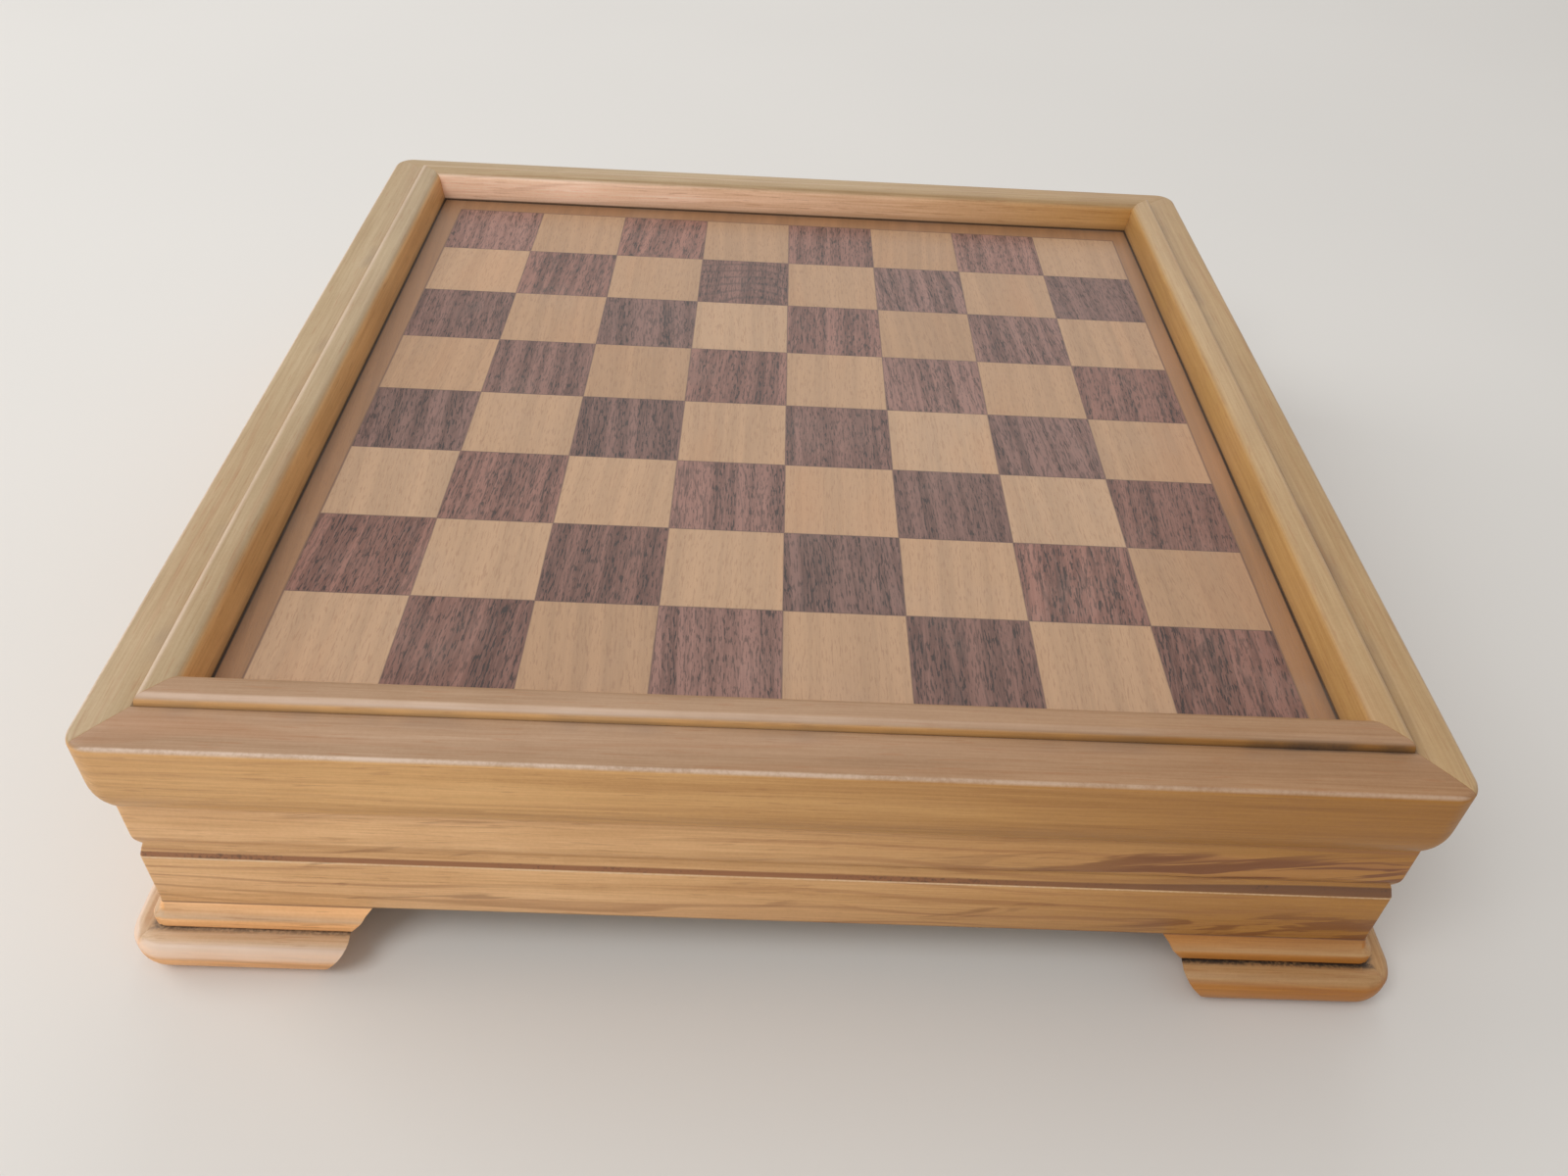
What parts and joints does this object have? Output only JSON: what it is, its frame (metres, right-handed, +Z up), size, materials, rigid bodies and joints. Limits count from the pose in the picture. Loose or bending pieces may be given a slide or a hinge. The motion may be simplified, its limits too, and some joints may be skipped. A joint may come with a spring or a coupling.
{
  "type": "chess box with drawers",
  "caption": "Square chessboard with an inlaid veneer field in a raised moulded frame, on a low case with bracket feet and a drawer opening from each side.",
  "frame": {"origin": "on the floor, under the middle of the box", "axes": "+Z up, +Y from the front to the back, +X to the right; the drawers open along -X and +X"},
  "size_m": [0.395, 0.3868, 0.1009],
  "materials": {
    "honey_wood": "satin varnish",
    "light_veneer": "satin varnish",
    "dark_veneer": "satin varnish",
    "plywood": "raw",
    "inner_wood": "raw",
    "brass": "polished",
    "steel": "bright zinc",
    "felt": "matt felt"
  },
  "bodies": {
    "case": {"back_panel": "honey_wood", "backing_veneer": "plywood", "board_core": "plywood", "border_back": "light_veneer", "border_front": "light_veneer", "border_left": "light_veneer", "border_right": "light_veneer", "bottom_brads": "steel", "bottom_panel": "plywood", "centre_partition": "inner_wood", "cleat_back": "inner_wood", "cleat_brads": "steel", "cleat_front": "inner_wood", "cleat_left": "inner_wood", "cleat_right": "inner_wood", "dark_squares": "dark_veneer", "foot_back_left_back": "honey_wood", "foot_back_left_side": "honey_wood", "foot_back_right_back": "honey_wood", "foot_back_right_side": "honey_wood", "foot_blocks": "inner_wood", "foot_front_left_front": "honey_wood", "foot_front_left_side": "honey_wood", "foot_front_right_front": "honey_wood", "foot_front_right_side": "honey_wood", "frame_back": "honey_wood", "frame_front": "honey_wood", "frame_left": "honey_wood", "frame_right": "honey_wood", "front_panel": "honey_wood", "guide_back_left": "inner_wood", "guide_back_right": "inner_wood", "guide_front_left": "inner_wood", "guide_front_right": "inner_wood", "light_squares": "light_veneer", "stile_back_left": "honey_wood", "stile_back_right": "honey_wood", "stile_front_left": "honey_wood", "stile_front_right": "honey_wood"},
    "drawer_left": {"drawer_left_back": "inner_wood", "drawer_left_bottom": "plywood", "drawer_left_felt": "felt", "drawer_left_front": "honey_wood", "drawer_left_knob": "brass", "drawer_left_knob_stud": "steel", "drawer_left_side_a": "inner_wood", "drawer_left_side_b": "inner_wood"},
    "drawer_right": {"drawer_right_back": "inner_wood", "drawer_right_bottom": "plywood", "drawer_right_felt": "felt", "drawer_right_front": "honey_wood", "drawer_right_knob": "brass", "drawer_right_knob_stud": "steel", "drawer_right_side_a": "inner_wood", "drawer_right_side_b": "inner_wood"}
  },
  "joints": [
    {"name": "drawer_left_slide", "type": "slide", "parent": "case", "child": "drawer_left", "axis": [-1, 0, 0], "range_m": [0, 0.14]},
    {"name": "drawer_right_slide", "type": "slide", "parent": "case", "child": "drawer_right", "axis": [1, 0, 0], "range_m": [0, 0.14]}
  ]
}
